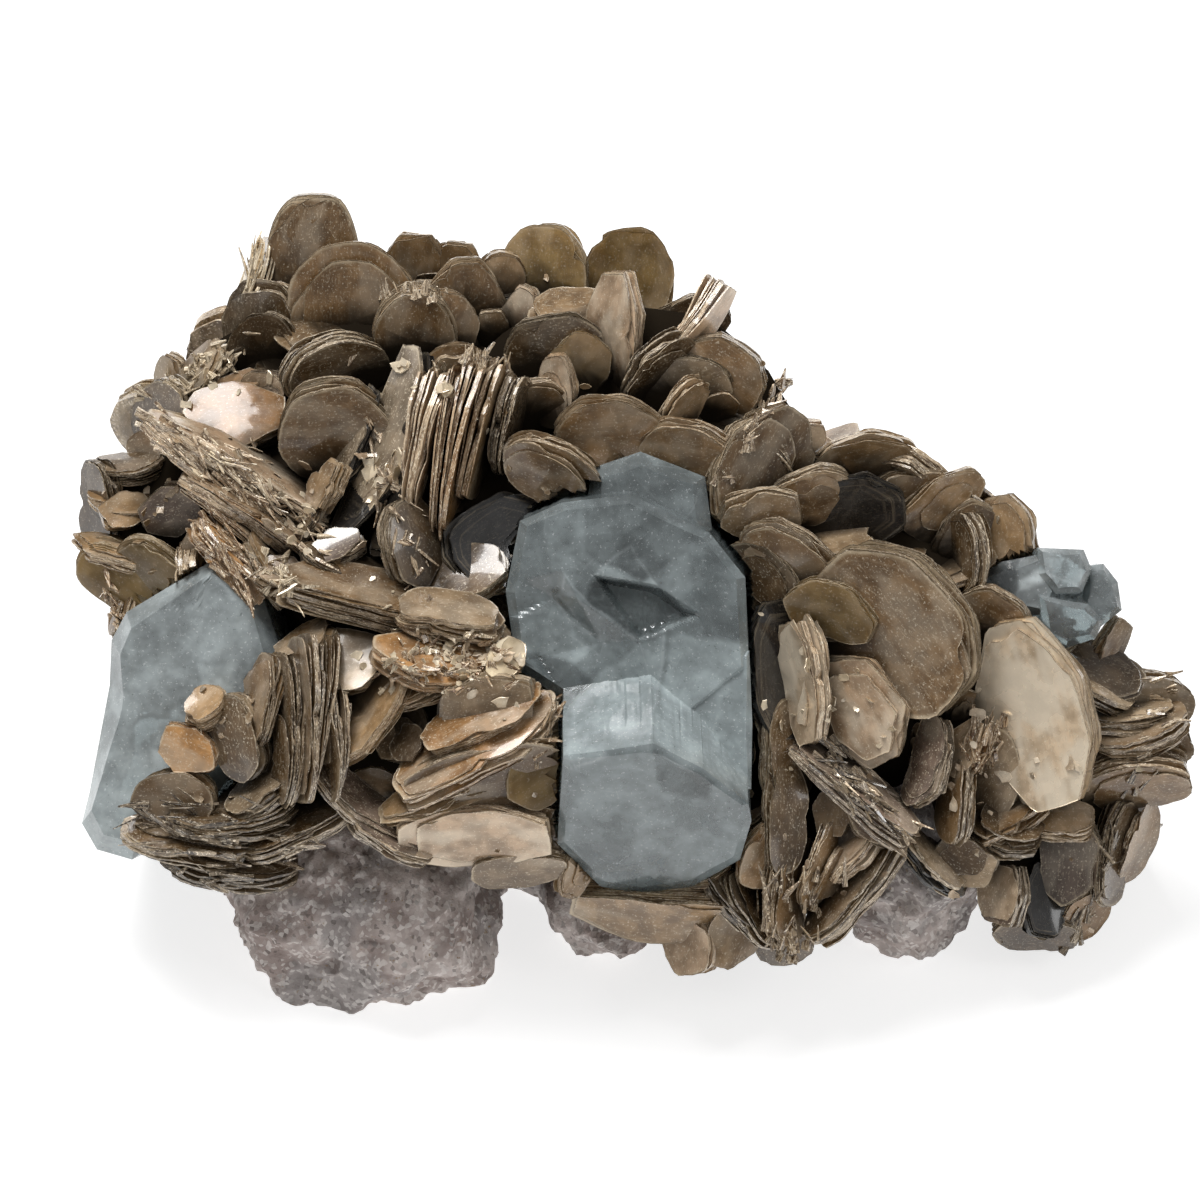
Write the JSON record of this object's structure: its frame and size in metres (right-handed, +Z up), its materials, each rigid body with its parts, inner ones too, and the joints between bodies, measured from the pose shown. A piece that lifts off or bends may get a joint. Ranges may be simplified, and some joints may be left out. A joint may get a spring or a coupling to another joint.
{
  "type": "aquamarine on muscovite specimen",
  "caption": "Mineral specimen: blue-grey aquamarine crystals among brown muscovite rosettes on a lump of pale feldspar rock with a trimmed flat foot.",
  "frame": {"origin": "middle of the specimen's length and width, on the surface its trimmed flat foot rests on", "axes": "+X to the right seen from the display side, +Y from the display side to the back, +Z up"},
  "size_m": [0.1412, 0.096, 0.0629],
  "materials": {
    "rock": "rough granular pinkish grey",
    "mica": "pearly brown layered sheets",
    "beryl": "cloudy blue-grey crystal"
  },
  "bodies": {
    "root": {"matrix": "rock", "muscovite": "mica", "aquamarine_main": "beryl", "aquamarine_left": "beryl", "aquamarine_right": "beryl"}
  },
  "joints": []
}
